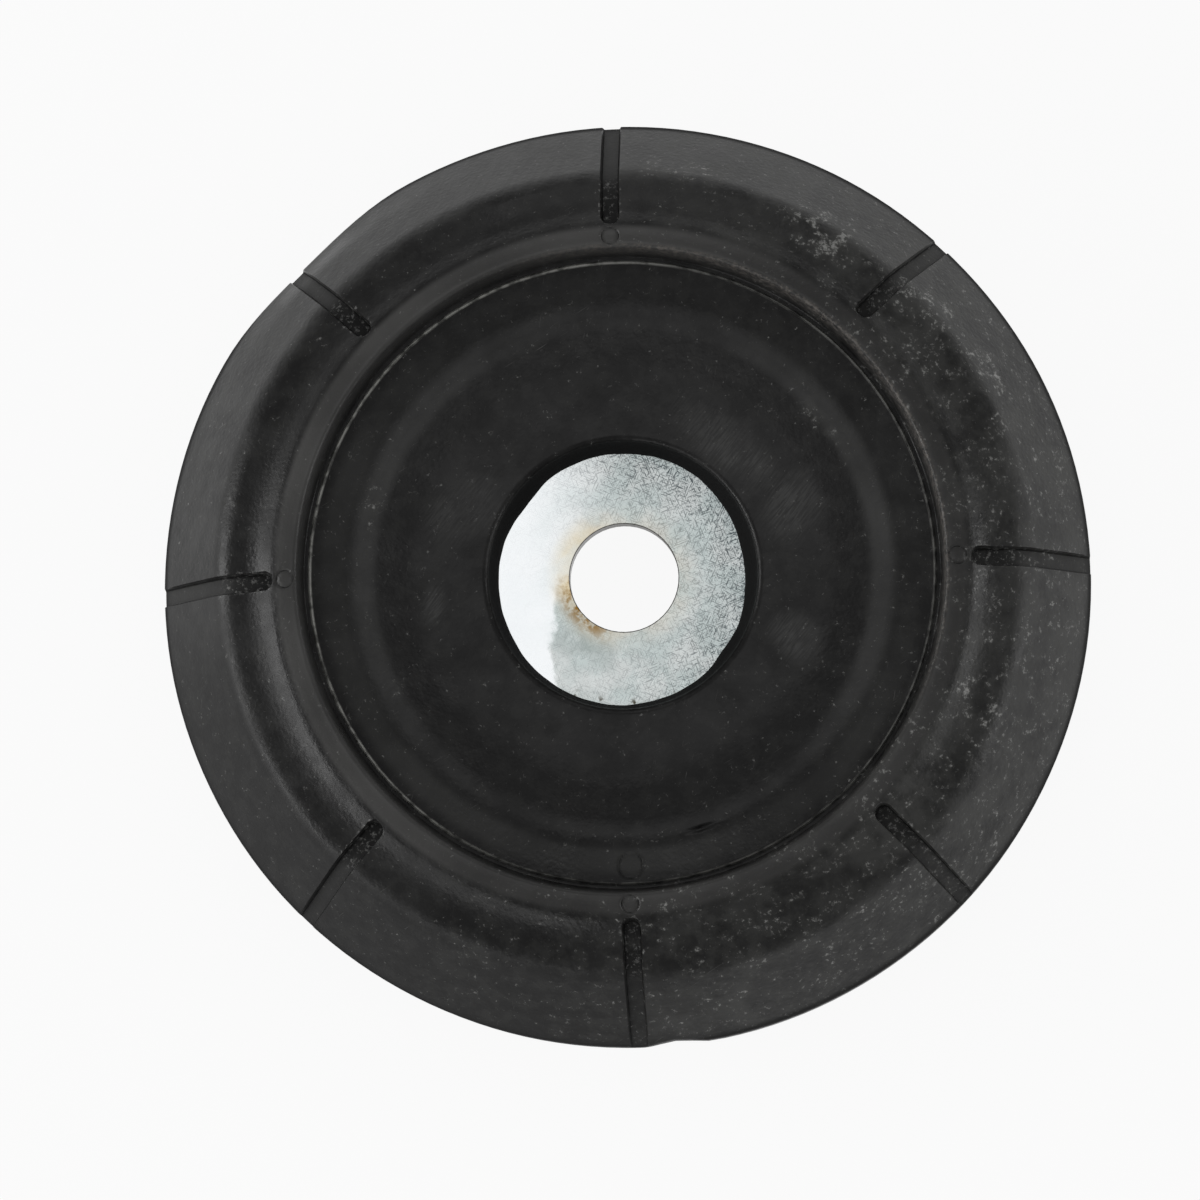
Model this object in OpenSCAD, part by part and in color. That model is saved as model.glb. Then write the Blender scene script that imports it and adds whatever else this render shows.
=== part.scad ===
// Strut mount: a moulded rubber body bonded to a pressed steel plate, with a thrust ball bearing underneath.
// Millimetres, +Z up, the axis of the damper rod on Z and the spring seat face on z = 0.

/* [Rubber body] */

// Outside diameter at the rim
rim_d = 120; // [108:1:132]

// Height of the upright wall at the rim
rim_wall_h = 5.5; // [4:0.5:7]

// Width of the outer cone, from the rim to the shoulder
cone_w = 8.8; // [7:0.1:10]

// Rise of the outer cone
cone_h = 11; // [9.5:0.1:12.5]

// Width of the shelf between the shoulder and the ridge's foot
shelf_w = 4.3; // [3:0.1:5]

// Rise of the shelf
shelf_rise = 1.6; // [1.2:0.1:2]

// Width of the ridge's outer flank
flank_w = 3.5; // [3:0.1:4.6]

// Rise of the ridge's outer flank
flank_rise = 2.6; // [2:0.1:3]

// Width of the ridge's top
crest_w = 2.4; // [2:0.1:3]

// Rise across the ridge's top, towards the middle
crest_rise = 0.3; // [0.2:0.05:0.5]

// Width of the step from the ridge's top down to the parting line
step_w = 1.3; // [1.1:0.1:2.4]

// Depth of that step
step_h = 4.2; // [3.5:0.1:5]

// Width of the bowl's wall, inside the parting line
bowl_w = 5.3; // [4:0.1:6]

// Height of the bowl's wall
bowl_h = 2; // [1.6:0.1:2.4]

// Width of the terrace inside the bowl's wall
terrace_w = 2.2; // [1.8:0.1:4]

// Width of the slope from the terrace to the floor
dish_w = 6; // [5:0.1:7]

// Height of that slope
dish_h = 1.3; // [1:0.1:1.6]

// Height of the rubber above the steel plate at the opening
lip_h = 3.9; // [3:0.1:5]

// Diameter of the opening in the rubber, at the steel plate
opening_d = 33; // [29:0.5:37]

// How far the opening widens from the steel plate to the floor
opening_draft = 0.8; // [0.4:0.1:1.2]

// Thickness of the rubber below the plate's brim
skin_t = 2; // [1.5:0.1:2.5]

/* [Slots and marks] */

// Number of slots around the shoulder
slot_count = 8; // [4:1:12]

// Width of a slot
slot_w = 2.3; // [1.5:0.1:3]

// Depth of a slot in the cone
slot_depth = 0.9; // [0.5:0.1:1.5]

// Distance from the ridge's top to the end of a slot
slot_gap = 0.8; // [0.2:0.1:1.2]

// Diameter of the moulding marks on the ridge
mark_d = 2.7; // [2:0.1:3.5]

// Diameter of the moulding mark in the bowl
bowl_mark_d = 3.6; // [3:0.1:4]

// Depth of the moulding marks
mark_depth = 0.25; // [0.15:0.05:0.4]

/* [Steel plate] */

// Hole for the damper rod
rod_hole_d = 14; // [10:0.5:18]

// Thickness of the pressed steel
plate_t = 2.5; // [2:0.25:3]

// Height of the wall around the bearing, from the plate's underside to the brim's underside
wall_h = 10; // [9:0.5:11]

// Distance from the rim of the rubber to the edge of the brim inside it
brim_cover = 6; // [5:0.5:8]

// Inside radius of the bends
bend_in = 1.5; // [1:0.1:2]

/* [Bearing] */

// Outside diameter, which is also the seat in the steel plate
bearing_d = 82; // [74:0.5:90]

// Height from the spring seat face to the steel plate
bearing_h = 16; // [15:0.5:18]

// Ball diameter, a quarter inch
ball_d = 6.35; // [5.5:0.05:7]

// Number of balls
ball_count = 22; // [12:1:24]

// Gap between the two races at the balls
race_gap = 3.4; // [3:0.1:3.8]

// Width of the cage inside and outside the balls
cage_rim = 1.375; // [1.2:0.025:1.6]

// Thickness of the upper race's skirt
race_skirt_t = 2; // [1.6:0.1:2.4]

// Thickness of the lower race's flange
flange_t = 1.8; // [1.5:0.1:2]

// How far the flange stands out from the lower race
flange_w = 1.6; // [1.2:0.1:2]

// Height of the outer seal
seal_t = 2; // [1.6:0.1:2.2]

// Width of the inner seal
inner_seal_w = 0.9; // [0.7:0.1:1.1]

/* [Hidden] */

$fn = 96;

// Gap between a ball and its grooves, and between a ball and its pocket
ball_gap = 0.1;
pocket_gap = 0.2;

// Gap between the turning race and the parts around it, and above and below the cage
turn_gap = 0.4;
cage_gap = 0.6;

// Roundings of the rubber's corners
edge_round = 0.8;
rim_low_round = 1.5;
shoulder_round = 4;
crest_round = 2.5;
crest_edge_round = 0.7;
step_round = 0.4;
terrace_round = 2.5;
dish_round = 6;
lip_round = 1;

// Parting line: half its width, and its height above the bowl's wall
line_half_w = 0.25;
line_h = 0.6;

// Steel plate levels and radii
plate_z = bearing_h;
plate_top = plate_z + plate_t;
brim_z = plate_z - wall_h;
bend_out = bend_in + plate_t;
seat_r = bearing_d / 2;
wall_r = seat_r + plate_t;
brim_r = rim_d / 2 - brim_cover;
plate_edge_round = 0.4;

// Rubber levels, each from the one before it
floor_z = plate_top + lip_h;
terrace_z = floor_z + dish_h;
line_z = terrace_z + bowl_h;
crest_z = line_z + step_h;
flank_top_z = crest_z - crest_rise;
foot_z = flank_top_z - flank_rise;
shoulder_z = foot_z - shelf_rise;
rim_z = shoulder_z - cone_h;
bottom_z = brim_z - skin_t;

// Rubber radii, each from the one before it
rim_r = rim_d / 2;
shoulder_r = rim_r - cone_w;
foot_r = shoulder_r - shelf_w;
flank_top_r = foot_r - flank_w;
crest_r = flank_top_r - crest_w;
line_r = crest_r - step_w;
terrace_out_r = line_r - bowl_w;
terrace_in_r = terrace_out_r - terrace_w;
floor_out_r = terrace_in_r - dish_w;
opening_r = opening_d / 2;
lip_r = opening_r + opening_draft;

// Rubber under the brim: where it ends inside, and where its taper to the rim starts
skirt_gap = 1.5;
rim_taper_w = 4;
skirt_in_r = wall_r + skirt_gap;
skirt_out_r = rim_r - rim_taper_w;

// Radius at which a slot ends
slot_end_r = flank_top_r + slot_gap;

// Bearing radii, from the seat inwards
skirt_bore_r = seat_r - race_skirt_t;
flange_r = skirt_bore_r - turn_gap;
hub_r = flange_r - flange_w;
pocket_r = ball_d / 2 + pocket_gap;
cage_out_r = skirt_bore_r - 2 * turn_gap;
pitch_r = cage_out_r - cage_rim - pocket_r;
cage_in_r = pitch_r - pocket_r - cage_rim;
upper_bore_r = cage_in_r - turn_gap - inner_seal_w;
bore_r = upper_bore_r - turn_gap;
groove_r = ball_d / 2 + ball_gap;

// Bearing levels
ball_z = bearing_h / 2;
lower_top_z = ball_z - race_gap / 2;
upper_low_z = ball_z + race_gap / 2;
seal_z = lower_top_z - flange_t - turn_gap - seal_t;
cage_t = race_gap - 2 * cage_gap;

// A profile is a list of corners [radius, height, rounding], going round with the material on its left.
function corner(p, i) = let (c = p[(i + len(p)) % len(p)]) [c[0], c[1]];
function unit(v) = v / norm(v);
function back(p, i) = unit(corner(p, i - 1) - corner(p, i));
function ahead(p, i) = unit(corner(p, i + 1) - corner(p, i));
function half_angle(p, i) = acos(back(p, i) * ahead(p, i)) / 2;
function reach(p, i) = p[i][2] / tan(half_angle(p, i));
function arc_start(p, i) = corner(p, i) + reach(p, i) * back(p, i);
function arc_end(p, i) = corner(p, i) + reach(p, i) * ahead(p, i);
function arc_centre(p, i) = corner(p, i) + unit(back(p, i) + ahead(p, i)) * p[i][2] / sin(half_angle(p, i));
function bulges(p, i) = back(p, i)[0] * ahead(p, i)[1] - back(p, i)[1] * ahead(p, i)[0] < 0;
function rounded_corners(p, out) = [for (i = [0 : len(p) - 1]) if (p[i][2] > 0 && bulges(p, i) == out) i];
function chords(p) = [
    for (i = [0 : len(p) - 1])
        each p[i][2] > 0 ? [arc_start(p, i), arc_end(p, i)] : [corner(p, i)]
];

// The sliver between a rounded corner's arc and its chord.
module arc_sliver(p, i) {
    intersection() {
        polygon([arc_start(p, i), corner(p, i), arc_end(p, i)]);
        translate(arc_centre(p, i)) circle(r = p[i][2]);
    }
}

// The profile with true arcs at its rounded corners.
module rounded_profile(p) {
    difference() {
        union() {
            polygon(chords(p));
            for (i = rounded_corners(p, true)) arc_sliver(p, i);
        }
        for (i = rounded_corners(p, false)) arc_sliver(p, i);
    }
}

// A rectangle in the profile plane, from two radii and two heights.
module band(r0, r1, z0, z1) {
    translate([r0, z0]) square([r1 - r0, z1 - z0]);
}

// Pressed hat: crown with the rod hole, wall around the bearing, brim inside the rubber.
module plate_profile() {
    rounded_profile([
        [rod_hole_d / 2, plate_z, 0],
        [seat_r, plate_z, bend_in],
        [seat_r, brim_z, bend_out],
        [brim_r, brim_z, plate_edge_round],
        [brim_r, brim_z + plate_t, plate_edge_round],
        [wall_r, brim_z + plate_t, bend_in],
        [wall_r, plate_top, bend_out],
        [rod_hole_d / 2, plate_top, 0],
    ]);
}

// The rubber's outside, closed along the middle of the steel, which is then cut out of it.
module rubber_profile() {
    plate_mid_z = plate_top - plate_t / 2;
    wall_mid_r = wall_r - plate_t / 2;
    brim_mid_z = brim_z + plate_t / 2;
    rounded_profile([
        [skirt_in_r, bottom_z, edge_round],
        [skirt_out_r, bottom_z, rim_low_round],
        [rim_r, rim_z - rim_wall_h, rim_low_round],
        [rim_r, rim_z, edge_round],
        [shoulder_r, shoulder_z, shoulder_round],
        [foot_r, foot_z, edge_round],
        [flank_top_r, flank_top_z, crest_round],
        [crest_r, crest_z, crest_edge_round],
        [line_r + 3 * line_half_w, line_z + line_h / 2, step_round],
        [line_r + line_half_w, line_z + line_h / 4, 0],
        [line_r, line_z + line_h, 0],
        [line_r - line_half_w, line_z, 0],
        [terrace_out_r, terrace_z, terrace_round],
        [terrace_in_r, terrace_z, terrace_round],
        [floor_out_r, floor_z, dish_round],
        [lip_r, floor_z, lip_round],
        [opening_r, plate_top, 0],
        [opening_r, plate_mid_z, 0],
        [wall_mid_r, plate_mid_z, 0],
        [wall_mid_r, brim_mid_z, 0],
        [skirt_in_r, brim_mid_z, 0],
    ]);
}

// Everything above a slot's floor, which is nearly level in the shelf and runs down with the cone.
module above_slot_floor() {
    slope = cone_h / cone_w;
    drop = slot_depth * sqrt(1 + slope * slope);
    bend_in_w = 0.6;
    shelf_floor_rise = 1;
    bend_r = shoulder_r - bend_in_w;
    bend_z = shoulder_z - drop + bend_in_w * slope;
    past_rim_r = rim_r + 2;
    inside_r = crest_r;
    top_z = crest_z + 2;
    rotate_extrude()
        polygon([
            [inside_r, bend_z + shelf_floor_rise],
            [bend_r, bend_z],
            [past_rim_r, bend_z - (past_rim_r - bend_r) * slope],
            [past_rim_r, top_z],
            [inside_r, top_z],
        ]);
}

// A slot seen from above: a round inner end and straight sides out past the rim.
module slot_plan() {
    end_x = slot_end_r + slot_w / 2;
    translate([end_x, 0]) circle(d = slot_w);
    translate([end_x, -slot_w / 2]) square([rim_r + 1 - end_x, slot_w]);
}

module slots() {
    intersection() {
        above_slot_floor();
        for (i = [0 : slot_count - 1])
            rotate(i * 360 / slot_count)
                linear_extrude(crest_z + 2) slot_plan();
    }
}

// A shallow round mark sunk square to a surface of the given slope at radius r and height z.
module mark(r, z, slope, d) {
    translate([r, 0, z])
        rotate([0, slope, 0])
            translate([0, 0, -mark_depth]) cylinder(d = d, h = 2);
}

// One mark on the ridge's top inside every second slot, and one on the bowl's wall.
module moulding_marks() {
    mark_gap = 0.4;
    mark_r = slot_end_r - mark_gap - mark_d / 2;
    crest_slope = atan2(crest_rise, crest_w);
    for (i = [0 : 3])
        rotate(i * 90)
            mark(mark_r, crest_z - (mark_r - crest_r) * tan(crest_slope), crest_slope, mark_d);
    bowl_slope = atan2(bowl_h, bowl_w - line_half_w);
    bowl_mark_in = line_half_w + mark_gap / 2 + bowl_mark_d / 2;
    rotate(-90)
        mark(line_r - bowl_mark_in, line_z - (bowl_mark_in - line_half_w) * tan(bowl_slope),
            -bowl_slope, bowl_mark_d);
}

module rubber_body() {
    color("#2b2b2d")
        difference() {
            rotate_extrude()
                difference() {
                    rubber_profile();
                    plate_profile();
                }
            slots();
            moulding_marks();
        }
}

module centre_plate() {
    color("#c9ced2") rotate_extrude() plate_profile();
}

// The path of the balls around the axis, as a circle in the profile plane.
module groove() {
    translate([pitch_r, ball_z]) circle(r = groove_r);
}

// Fixed race, with a skirt down around the turning race.
module upper_race() {
    chamfer = bend_in + 0.5;
    color("#9a9da0")
        rotate_extrude()
            difference() {
                polygon([
                    [upper_bore_r, upper_low_z],
                    [skirt_bore_r, upper_low_z],
                    [skirt_bore_r, seal_z],
                    [seat_r, seal_z],
                    [seat_r, plate_z - chamfer],
                    [seat_r - chamfer, plate_z],
                    [upper_bore_r, plate_z],
                ]);
                groove();
            }
}

// Turning race, with the spring seat face below and a flange that the outer seal keeps in.
module lower_race() {
    color("#8f9295")
        rotate_extrude()
            difference() {
                union() {
                    band(bore_r, hub_r, 0, lower_top_z);
                    band(bore_r, flange_r, lower_top_z - flange_t, lower_top_z);
                }
                groove();
            }
}

// Repeats its children at every ball.
module at_balls() {
    for (i = [0 : ball_count - 1])
        rotate(i * 360 / ball_count)
            translate([pitch_r, 0, ball_z]) children();
}

module balls() {
    color("#d8dadc") at_balls() sphere(d = ball_d);
}

// Flat ring that keeps the balls apart.
module ball_cage() {
    color("#d9d2bd")
        difference() {
            rotate_extrude()
                band(cage_in_r, cage_out_r, ball_z - cage_t / 2, ball_z + cage_t / 2);
            at_balls() cylinder(r = pocket_r, h = cage_t + 2, center = true);
        }
}

// Ring pressed into the upper race's skirt, below the turning race's flange.
module dust_seal() {
    color("#1d1d1f")
        rotate_extrude() band(hub_r + turn_gap, skirt_bore_r, seal_z, seal_z + seal_t);
}

// Lip under the upper race that closes the bearing on its inside.
module inner_seal() {
    color("#1d1d1f")
        rotate_extrude()
            band(upper_bore_r, upper_bore_r + inner_seal_w, lower_top_z + turn_gap, upper_low_z);
}

rubber_body();
centre_plate();
upper_race();
lower_race();
balls();
ball_cage();
dust_seal();
inner_seal();
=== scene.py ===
# %% [markdown]
# # Strut mount
# A strut mount is the cushion between a car's front damper and its body. A rubber ring is moulded onto a
# pressed steel plate, the damper's rod is bolted through the plate, and a thrust bearing underneath lets
# the spring seat turn with the wheel. The solids of all its pieces are packed already, and this lesson
# gives them the surface of a used part.

import math
from types import SimpleNamespace

import bmesh
import bpy
from mathutils import Matrix, Vector


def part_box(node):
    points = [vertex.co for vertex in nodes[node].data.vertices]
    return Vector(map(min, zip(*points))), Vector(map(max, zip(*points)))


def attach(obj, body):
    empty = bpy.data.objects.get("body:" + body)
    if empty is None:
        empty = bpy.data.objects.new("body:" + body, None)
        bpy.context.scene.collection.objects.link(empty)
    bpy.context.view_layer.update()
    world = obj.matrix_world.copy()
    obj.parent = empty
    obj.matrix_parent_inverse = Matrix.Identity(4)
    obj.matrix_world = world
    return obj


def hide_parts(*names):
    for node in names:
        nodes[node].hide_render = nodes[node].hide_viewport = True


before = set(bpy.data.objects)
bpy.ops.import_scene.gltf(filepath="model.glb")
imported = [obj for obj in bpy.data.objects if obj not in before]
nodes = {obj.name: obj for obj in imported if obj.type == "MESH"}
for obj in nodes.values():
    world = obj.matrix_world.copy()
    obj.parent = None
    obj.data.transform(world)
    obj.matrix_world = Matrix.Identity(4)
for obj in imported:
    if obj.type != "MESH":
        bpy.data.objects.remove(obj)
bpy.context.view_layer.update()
MM = 0.001
print("pieces in the frame:", ", ".join(sorted(nodes)))

# %% [markdown]
# ## The rubber's section
# The mould that the rubber comes out of was turned on a lathe, so the body is one outline spun about the
# rod's axis. Its sizes are steps inwards from the rim and upwards from the steel plate, because that is
# how the rings of such a part are measured. The rim and the plate are read from the frame.

# %% Sizes of the section, in millimetres
rim_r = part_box("rubber_body")[1].x / MM
plate_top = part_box("centre_plate")[1].z / MM
plate_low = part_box("centre_plate")[0].z / MM
seat_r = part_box("upper_race")[1].x / MM
bottom_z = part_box("rubber_body")[0].z / MM
plate_t = 2.5
brim_r = rim_r - 6
wall_r = seat_r + plate_t
skirt_r = wall_r + 1.5
sole_r = rim_r - 4

shoulder_r = rim_r - 8.8
foot_r = shoulder_r - 4.3
flank_top_r = foot_r - 3.5
crest_r = flank_top_r - 2.4
line_r = crest_r - 1.3
line_half_w = 0.25
line_h = 0.6
terrace_out_r = line_r - 5.3
terrace_in_r = terrace_out_r - 2.2
floor_out_r = terrace_in_r - 6
opening_r = 16.5
lip_r = opening_r + 0.8

floor_z = plate_top + 3.9
terrace_z = floor_z + 1.3
line_z = terrace_z + 2
crest_z = line_z + 4.2
flank_top_z = crest_z - 0.3
foot_z = flank_top_z - 2.6
shoulder_z = foot_z - 1.6
cone_h = 11
rim_z = shoulder_z - cone_h
rim_low_z = rim_z - 5.5
cone_slope = cone_h / (rim_r - shoulder_r)
print(f"rim {2 * rim_r:.1f} mm across, plate at {plate_top:.1f} mm, ridge {crest_z:.1f} mm above the seat")

# %% [markdown]
# Every corner of a moulded part is rounded, and how much it is rounded decides how it catches the light.
# The outline is made as one face with a vertex at each corner. Bevelling a vertex puts an arc there that
# starts the same distance along both edges, so that distance is worked out from the radius of the arc.

# %% Outline with rounded corners
ARC_STEPS = 7


def rounded_outline(corners):
    """A closed outline in the XZ plane, from corners of radius, height and rounding."""
    outline = bmesh.new()
    verts = [outline.verts.new((radius, 0, height)) for radius, height, _ in corners]
    outline.faces.new(verts)
    places = [vert.co.copy() for vert in verts]
    for i, (_, _, rounding) in enumerate(corners):
        if rounding == 0:
            continue
        to_last = places[i - 1] - places[i]
        to_next = places[(i + 1) % len(places)] - places[i]
        bmesh.ops.bevel(
            outline, geom=[verts[i]], offset=rounding / math.tan(to_last.angle(to_next) / 2),
            offset_type="OFFSET", segments=ARC_STEPS, profile=0.5, affect="VERTICES", material=-1,
        )
    bmesh.ops.delete(outline, geom=outline.faces[:], context="FACES_ONLY")
    return outline


rubber = rounded_outline([
    (opening_r, plate_top, 0),
    (lip_r, floor_z, 1),
    (floor_out_r, floor_z, 15),
    (terrace_in_r, terrace_z, 8),
    (terrace_out_r, terrace_z, 6),
    (line_r - line_half_w, line_z, 0),
    (line_r, line_z + line_h, 0),
    (line_r + line_half_w, line_z + line_h / 4, 0),
    (line_r + 3 * line_half_w, line_z + line_h / 2, 0.4),
    (crest_r, crest_z, 0.7),
    (flank_top_r, flank_top_z, 6),
    (foot_r, foot_z, 10),
    (shoulder_r, shoulder_z, 6),
    (rim_r, rim_z, 0.8),
    (rim_r, rim_low_z, 1.5),
    (sole_r, bottom_z, 1.5),
    (skirt_r, bottom_z, 0.8),
    (skirt_r, plate_low, 0),
    (brim_r, plate_low, 0),
    (brim_r, plate_low + plate_t, 0),
    (wall_r, plate_low + plate_t, 1.5),
    (wall_r, plate_top, 4),
])
print("corners and arcs of the section:", len(rubber.verts))

# %% [markdown]
# ## Spinning the section
# The slots, marks and flash are pressed into the spun ring by moving its vertices, so the ring needs close
# rows where they are and can have wide ones elsewhere. The outline's edges are cut to that spacing first,
# and a full spin then sweeps them round. Merging closes the seam.

# %% Where the rows of vertices lie close
slot_half_w = 1.15
slot_end_r = flank_top_r + 0.8
mark_r = slot_end_r - 1.75
nick_r = terrace_out_r - 0.3
HIDDEN_ROWS = 4
RIM_ROWS = 1.2
PLAIN_ROWS = 0.6
FINE_ROWS = 0.3
MARK_ROWS = 0.2
SLOT_END_ROWS = 0.12


def row_spacing(radius, height):
    """How far apart the rows of vertices are, in millimetres."""
    if height < plate_top:
        return RIM_ROWS if radius > rim_r - 1 else HIDDEN_ROWS
    if slot_end_r - 0.3 < radius < slot_end_r + slot_half_w + 0.3:
        return SLOT_END_ROWS
    if mark_r - 1.6 < radius < mark_r + 1.6:
        return MARK_ROWS
    if nick_r - 0.8 < radius < line_r or radius < lip_r:
        return FINE_ROWS
    if slot_end_r < radius < shoulder_r:
        return FINE_ROWS
    return PLAIN_ROWS


print(f"rows from {SLOT_END_ROWS} mm apart at the slots' ends to {HIDDEN_ROWS} mm where they are hidden")

# %% Cut the outline to size and spin it
SLOT_COUNT = 8
HALF_COLUMNS = 22
columns = SLOT_COUNT * 2 * HALF_COLUMNS
MERGE_DISTANCE = 1e-4


def cut_edges(outline, spacing):
    """Cuts an outline's edges so that its vertices are no further apart than spacing says."""
    for edge in outline.edges[:]:
        middle = (edge.verts[0].co + edge.verts[1].co) / 2
        cuts = math.ceil(edge.calc_length() / spacing(middle.x, middle.z)) - 1
        if cuts > 0:
            bmesh.ops.subdivide_edges(outline, edges=[edge], cuts=cuts)


def spin_round(outline, steps):
    """Sweeps an outline once round the rod's axis and closes the seam."""
    bmesh.ops.spin(
        outline, geom=outline.verts[:] + outline.edges[:], cent=(0, 0, 0), axis=(0, 0, 1),
        angle=math.tau, steps=steps, use_merge=True,
    )
    bmesh.ops.remove_doubles(outline, verts=outline.verts[:], dist=MERGE_DISTANCE)
    bmesh.ops.recalc_face_normals(outline, faces=outline.faces[:])


cut_edges(rubber, row_spacing)
rows = len(rubber.verts)
spin_round(rubber, columns)
print(f"{rows} rows by {columns} columns, {2 * len(rubber.faces)} triangles")

# %% [markdown]
# ## Slots in the shoulder
# Eight slots run from the ridge out over the rim. Their sides are parallel, but a spun ring's columns fan
# out, so the columns near each slot are first turned onto lines parallel to it. Then the rows between the
# slot's sides are pressed down to its floor. A boolean would cut the same slot, but it leaves long thin
# triangles that shade badly on rubber this smooth.

# %% Turn the columns parallel to the slots
slot_pitch = math.tau / SLOT_COUNT
column_pitch = math.tau / columns
# How far the columns beside a slot lie from its middle line: closest at its edge.
slot_lines = (0, 0.4, 0.75, 0.95, 1.02, 1.09, 1.16, 1.25, 1.4, 1.6, 1.8, 2.1, 2.4)


def along_slot(vert):
    """The nearest slot's number, and the vertex's place along and across that slot."""
    angle = math.atan2(vert.co.y, vert.co.x)
    slot = round(angle / slot_pitch)
    radius = math.hypot(vert.co.x, vert.co.y)
    away = angle - slot * slot_pitch
    return slot, radius * math.cos(away), radius * math.sin(away)


for vert in rubber.verts:
    slot, along, across = along_slot(vert)
    radius = math.hypot(along, across)
    column = round(math.atan2(abs(across), along) / column_pitch)
    if column < len(slot_lines):
        turn = math.asin(slot_lines[column] / radius)
    else:
        first = math.asin(slot_lines[-1] / radius)
        share = (column - len(slot_lines) + 1) / (HALF_COLUMNS - len(slot_lines) + 1)
        turn = first + (slot_pitch / 2 - first) * share
    angle = slot * slot_pitch + math.copysign(turn, across)
    vert.co.x = radius * math.cos(angle)
    vert.co.y = radius * math.sin(angle)
print("columns beside each slot:", 2 * len(slot_lines) - 1)

# %% [markdown]
# How deep in a slot each vertex lies is also kept with it, as a value of its own: one on the floor, less on
# the walls and a little beside the slot. The finish reads it later to paint shade into the slot and a
# highlight beside its edges.

# %% Press the slots down
slot_depth = 0.9
slot_low_z = rim_low_z + 2
SLOT_DRAFT = 0.2
EDGE_SHARE = 0.3
EDGE_START = 0.2
EDGE_END = 0.5
KEEP_APART = 0.03
SHELF_FLOOR_SLOPE = 0.15
FLOOR_BEND_W = 1.5
FLOOR_BEND_IN = 0.6
floor_bend_r = shoulder_r - FLOOR_BEND_IN
floor_bend_z = shoulder_z - slot_depth * math.hypot(1, cone_slope) + FLOOR_BEND_IN * cone_slope


def smooth_step(low, high, value):
    """Zero below low, one above high, and smooth between."""
    share = min(max((value - low) / (high - low), 0), 1)
    return share * share * (3 - 2 * share)


def slot_floor(radius):
    """The floor's height: nearly flat under the shelf, and bending down to follow the cone."""
    out = radius - floor_bend_r
    on_cone = (out + math.hypot(out, FLOOR_BEND_W)) / 2
    return floor_bend_z - out * SHELF_FLOOR_SLOPE - on_cone * (cone_slope - SHELF_FLOOR_SLOPE)


pressed = 0
in_slot = rubber.verts.layers.float.new("in_slot")
for vert in rubber.verts:
    _, along, across = along_slot(vert)
    if vert.co.z <= slot_low_z or along <= crest_r:
        continue
    end_along = slot_end_r + slot_half_w
    from_middle = math.hypot(max(end_along - along, 0), across)
    beside = 1 - smooth_step(slot_half_w + EDGE_START, slot_half_w + EDGE_END, from_middle)
    vert[in_slot] = EDGE_SHARE * beside
    depth_share = 1 - smooth_step(slot_half_w - SLOT_DRAFT, slot_half_w + SLOT_DRAFT / 2, from_middle)
    floor = slot_floor(math.hypot(along, across))
    if depth_share > 0 and vert.co.z > floor:
        below_rim = max(rim_z - vert.co.z, 0) * KEEP_APART
        vert.co.z += (floor - below_rim - vert.co.z) * depth_share
        vert[in_slot] = max(depth_share, EDGE_SHARE)
        pressed += 1
print("vertices pressed into the slots:", pressed)

# %% [markdown]
# ## Moulding marks
# Pins push the rubber out of its mould and leave round marks: four on the ridge's top and a larger one in
# the bowl. Each is a ring groove around a disc that lies a little low.

# %% Press the marks in
RIDGE_MARKS = 4
RIDGE_MARK_D = 2.7
BOWL_MARK_D = 3.6
BOWL_MARK_IN = 2.3
MARK_DEPTH = 0.12
GROOVE_DEPTH = 0.22
GROOVE_HALF_W = 0.25
DISC_SOFT = 0.1
MARK_SHADE = 0.6


def press_mark(centre, size):
    """Sinks a disc with a groove around it into the top of the rubber."""
    edge_r = size / 2 - GROOVE_HALF_W
    for vert in rubber.verts:
        from_centre = math.hypot(vert.co.x - centre.x, vert.co.y - centre.y)
        if from_centre > size / 2 or vert.co.z < plate_top:
            continue
        groove = max(1 - abs(from_centre - edge_r) / GROOVE_HALF_W, 0)
        disc = 1 - smooth_step(edge_r - DISC_SOFT, edge_r + DISC_SOFT, from_centre)
        vert.co.z -= GROOVE_DEPTH * groove + MARK_DEPTH * disc
        vert[in_slot] = max(vert[in_slot], MARK_SHADE * groove)


for number in range(RIDGE_MARKS):
    direction = number * math.tau / RIDGE_MARKS
    press_mark(Vector((mark_r * math.cos(direction), mark_r * math.sin(direction), 0)), RIDGE_MARK_D)
press_mark(Vector((0, BOWL_MARK_IN - line_r, 0)), BOWL_MARK_D)
print(f"marks: {RIDGE_MARKS} on the ridge, 1 in the bowl")

# %% [markdown]
# ## What moulding leaves uneven
# Rubber shrinks as it cools, and thin flash stays where the mould's halves met. So the rim has two shallow
# dents, the edge of the opening runs in over the plate in places, the line around the bowl is ragged and a
# tool has nicked the bowl's wall.
# Everything here goes inwards or down, which keeps the piece within its size.

# %% Helpers for an uneven ring


def bump_at(angle, centre, half_width):
    """One at the given direction in degrees, falling to nothing at half_width to either side."""
    away = (math.degrees(angle) - centre + 180) % 360 - 180
    return 1 - smooth_step(0, half_width, abs(away))


def bumps(angle, table):
    """The sum of the bumps in a table of heights, directions and half widths."""
    return sum(height * bump_at(angle, centre, half_width) for height, centre, half_width in table)


def ripple(angle):
    """A gentle unevenness from 0 to 1 that closes on itself around the ring."""
    waves = math.sin(3 * angle + 1) + math.sin(5 * angle + 4) + math.sin(11 * angle) * 0.6
    return min(max(waves / 5.2 + 0.5, 0), 1)


def pull_in(vert, distance):
    """Moves a vertex towards the rod's axis."""
    radius = math.hypot(vert.co.x, vert.co.y)
    vert.co.x *= (radius - distance) / radius
    vert.co.y *= (radius - distance) / radius


print(f"unevenness at the front, from 0 to 1: {ripple(-math.tau / 4):.2f}")

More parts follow.
